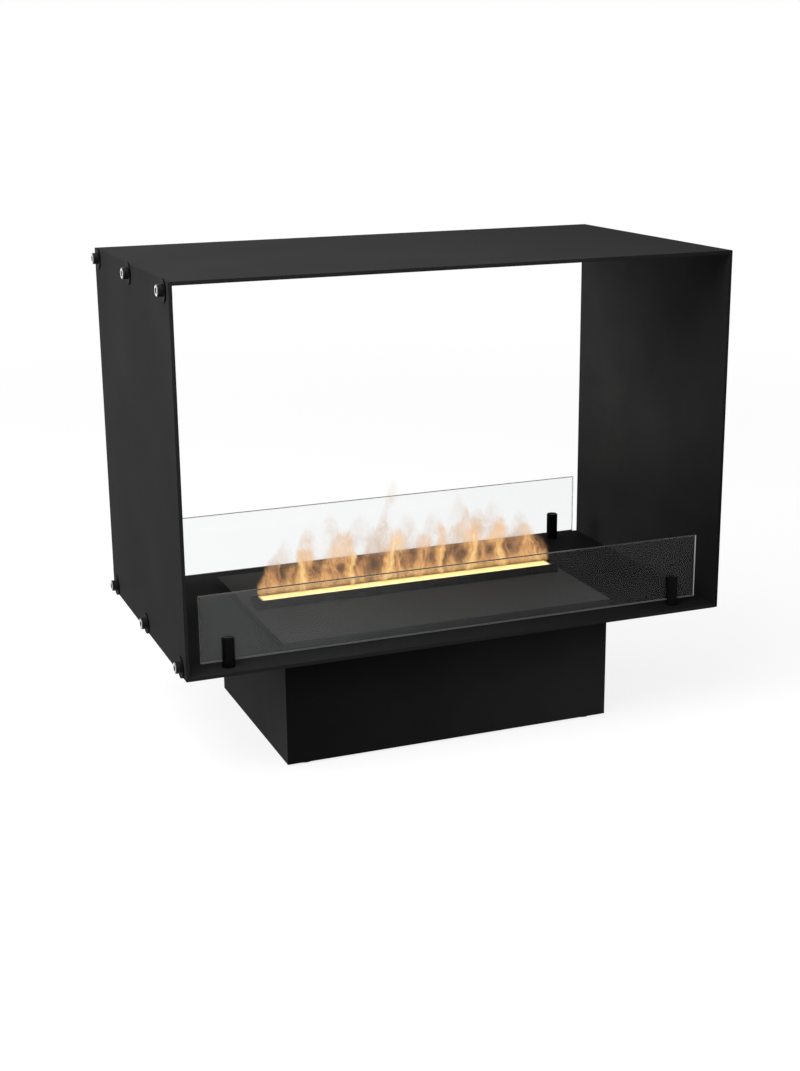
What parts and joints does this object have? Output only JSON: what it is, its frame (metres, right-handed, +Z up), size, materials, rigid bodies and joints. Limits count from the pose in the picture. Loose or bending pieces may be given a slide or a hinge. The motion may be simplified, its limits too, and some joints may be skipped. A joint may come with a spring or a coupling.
{
  "type": "water vapour fireplace",
  "caption": "Free-standing see-through fireplace: a black steel frame, bolted at one side, on a narrow pedestal, with a lit water vapour slot between low glass screens.",
  "frame": {"origin": "on the floor under the middle of the frame, without its bolt heads", "axes": "+Z up, +X along the frame's width, the pictured front faces -Y"},
  "size_m": [0.8095, 0.44, 0.69],
  "materials": {
    "black_steel": "matt black powder coat",
    "dark_collar": "matt black powder coat",
    "black_bolts": "satin black oxide",
    "black_washers": "matt black",
    "zinc_steel": "zinc plated",
    "galvanised": "galvanised sheet",
    "black_holders": "satin black",
    "rubber": "matt",
    "clear_glass": "clear toughened glass",
    "white_plastic": "moulded",
    "dark_plastic": "moulded",
    "opal_light": "opal, lit from behind",
    "white_board": "white solder mask",
    "green_board": "green solder mask",
    "tank_plastic": "translucent moulding",
    "cap_plastic": "moulded",
    "hose": "clear silicone",
    "brass": "plain"
  },
  "bodies": {
    "frame": {"top_panel": "black_steel", "base_panel": "black_steel", "left_side_panel": "black_steel", "right_side_panel": "black_steel", "pedestal_shell": "black_steel", "left_side_bolts": "black_bolts", "left_side_washers": "black_washers", "pedestal_screws": "zinc_steel", "floor_screws": "zinc_steel", "post_screws": "zinc_steel", "casing_screws": "zinc_steel", "fan_screws": "zinc_steel", "inlet_screws": "zinc_steel", "unit_casing": "galvanised", "pedestal_floor": "galvanised", "power_supply": "galvanised", "front_left_post": "black_holders", "front_right_post": "black_holders", "rear_left_post": "black_holders", "rear_right_post": "black_holders", "rubber_feet": "rubber", "glass_pads": "rubber", "disc_seals": "rubber", "cable_grommet": "rubber", "mains_cable": "rubber", "supply_cable": "rubber", "vapour_basin": "white_plastic", "basin_fitting": "white_plastic", "float_stem": "white_plastic", "feed_valve": "white_plastic", "mist_duct": "dark_plastic", "left_fan_housing": "dark_plastic", "right_fan_housing": "dark_plastic", "power_inlet": "dark_plastic", "switch_frame": "dark_plastic", "board_parts": "dark_plastic", "light_guide": "opal_light", "lamp_chips": "opal_light", "front_light_strip": "white_board", "rear_light_strip": "white_board", "control_board": "green_board", "driver_board": "green_board", "water_tank": "tank_plastic", "tank_hose": "hose", "basin_hose": "hose", "ultrasonic_discs": "brass", "board_standoffs": "brass", "inlet_pins": "brass"},
    "cover": {"cover_plate": "black_steel", "slot_collar": "dark_collar"},
    "front_screen": {"front_glass": "clear_glass"},
    "rear_screen": {"rear_glass": "clear_glass"},
    "left_fan": {"left_fan_rotor": "dark_plastic"},
    "right_fan": {"right_fan_rotor": "dark_plastic"},
    "filler_cap": {"tank_cap": "cap_plastic", "cap_seal": "rubber"},
    "float": {"level_float": "white_plastic"},
    "rocker": {"switch_rocker": "dark_plastic"}
  },
  "joints": [
    {"name": "cover_lift", "type": "slide", "parent": "frame", "child": "cover", "axis": [0, 0, 1], "range_m": [0, 0.06]},
    {"name": "front_screen_lift", "type": "slide", "parent": "frame", "child": "front_screen", "axis": [0, 0, 1], "range_m": [0, 0.05]},
    {"name": "rear_screen_lift", "type": "slide", "parent": "frame", "child": "rear_screen", "axis": [0, 0, 1], "range_m": [0, 0.05]},
    {"name": "left_fan_spin", "type": "hinge", "parent": "frame", "child": "left_fan", "pos_m": [-0.13, 0.092, 0.0525], "axis": [0, 0, 1], "continuous": true},
    {"name": "right_fan_spin", "type": "hinge", "parent": "frame", "child": "right_fan", "pos_m": [0.13, 0.092, 0.0525], "axis": [0, 0, 1], "continuous": true},
    {"name": "filler_cap_turn", "type": "hinge", "parent": "frame", "child": "filler_cap", "pos_m": [-0.155, -0.091, 0.15], "axis": [0, 0, 1], "range_deg": [0, 90]},
    {"name": "float_rise", "type": "slide", "parent": "frame", "child": "float", "axis": [0, 0, 1], "range_m": [0, 0.012]},
    {"name": "switch_tilt", "type": "hinge", "parent": "frame", "child": "rocker", "pos_m": [0.128, 0.1625, 0.024], "axis": [1, 0, 0], "range_deg": [-16, 0]}
  ]
}
